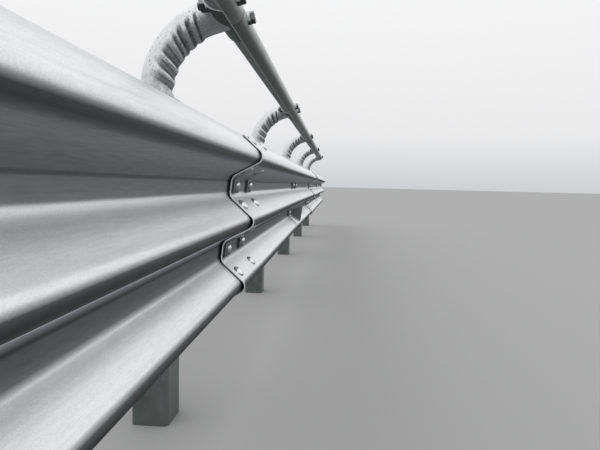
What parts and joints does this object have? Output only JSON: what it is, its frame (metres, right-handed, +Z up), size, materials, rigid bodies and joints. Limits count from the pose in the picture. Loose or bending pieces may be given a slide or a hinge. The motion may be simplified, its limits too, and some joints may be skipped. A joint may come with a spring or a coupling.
{
  "type": "highway guardrail section",
  "caption": "Three-wave steel beam on square posts with spacer blocks and a round top rail on bent tube arms, galvanised.",
  "frame": {"origin": "centre of the middle post's foot at ground level", "axes": "+X along the rail, -Y toward the road, +Z up"},
  "size_m": [12.32, 0.4366, 1.3937],
  "materials": {
    "post_zinc": "galvanised, dull",
    "beam_zinc": "galvanised, dull",
    "arm_zinc": "galvanised, dull",
    "rail_zinc": "galvanised, dull",
    "bracket_zinc": "galvanised, dull",
    "marker_plastic": "moulded, dull"
  },
  "bodies": {
    "root": {"arm_collar_1": "arm_zinc", "arm_collar_2": "arm_zinc", "arm_collar_3": "arm_zinc", "arm_collar_4": "arm_zinc", "arm_collar_5": "arm_zinc", "arm_collar_6": "arm_zinc", "arm_collar_7": "arm_zinc", "beam_panel_1": "beam_zinc", "beam_panel_2": "beam_zinc", "beam_panel_3": "beam_zinc", "bent_arm_1": "arm_zinc", "bent_arm_2": "arm_zinc", "bent_arm_3": "arm_zinc", "bent_arm_4": "arm_zinc", "bent_arm_5": "arm_zinc", "bent_arm_6": "arm_zinc", "bent_arm_7": "arm_zinc", "delineator": "marker_plastic", "delineator_bracket": "bracket_zinc", "post_1": "post_zinc", "post_2": "post_zinc", "post_3": "post_zinc", "post_4": "post_zinc", "post_5": "post_zinc", "post_6": "post_zinc", "post_7": "post_zinc", "rail_saddle_1": "arm_zinc", "rail_saddle_2": "arm_zinc", "rail_saddle_3": "arm_zinc", "rail_saddle_4": "arm_zinc", "rail_saddle_5": "arm_zinc", "rail_saddle_6": "arm_zinc", "rail_saddle_7": "arm_zinc", "rail_sleeve_1": "rail_zinc", "rail_sleeve_2": "rail_zinc", "spacer_block_1": "post_zinc", "spacer_block_2": "post_zinc", "spacer_block_3": "post_zinc", "spacer_block_4": "post_zinc", "spacer_block_5": "post_zinc", "spacer_block_6": "post_zinc", "spacer_block_7": "post_zinc", "top_rail_1": "rail_zinc", "top_rail_2": "rail_zinc", "top_rail_3": "rail_zinc"}
  },
  "joints": []
}
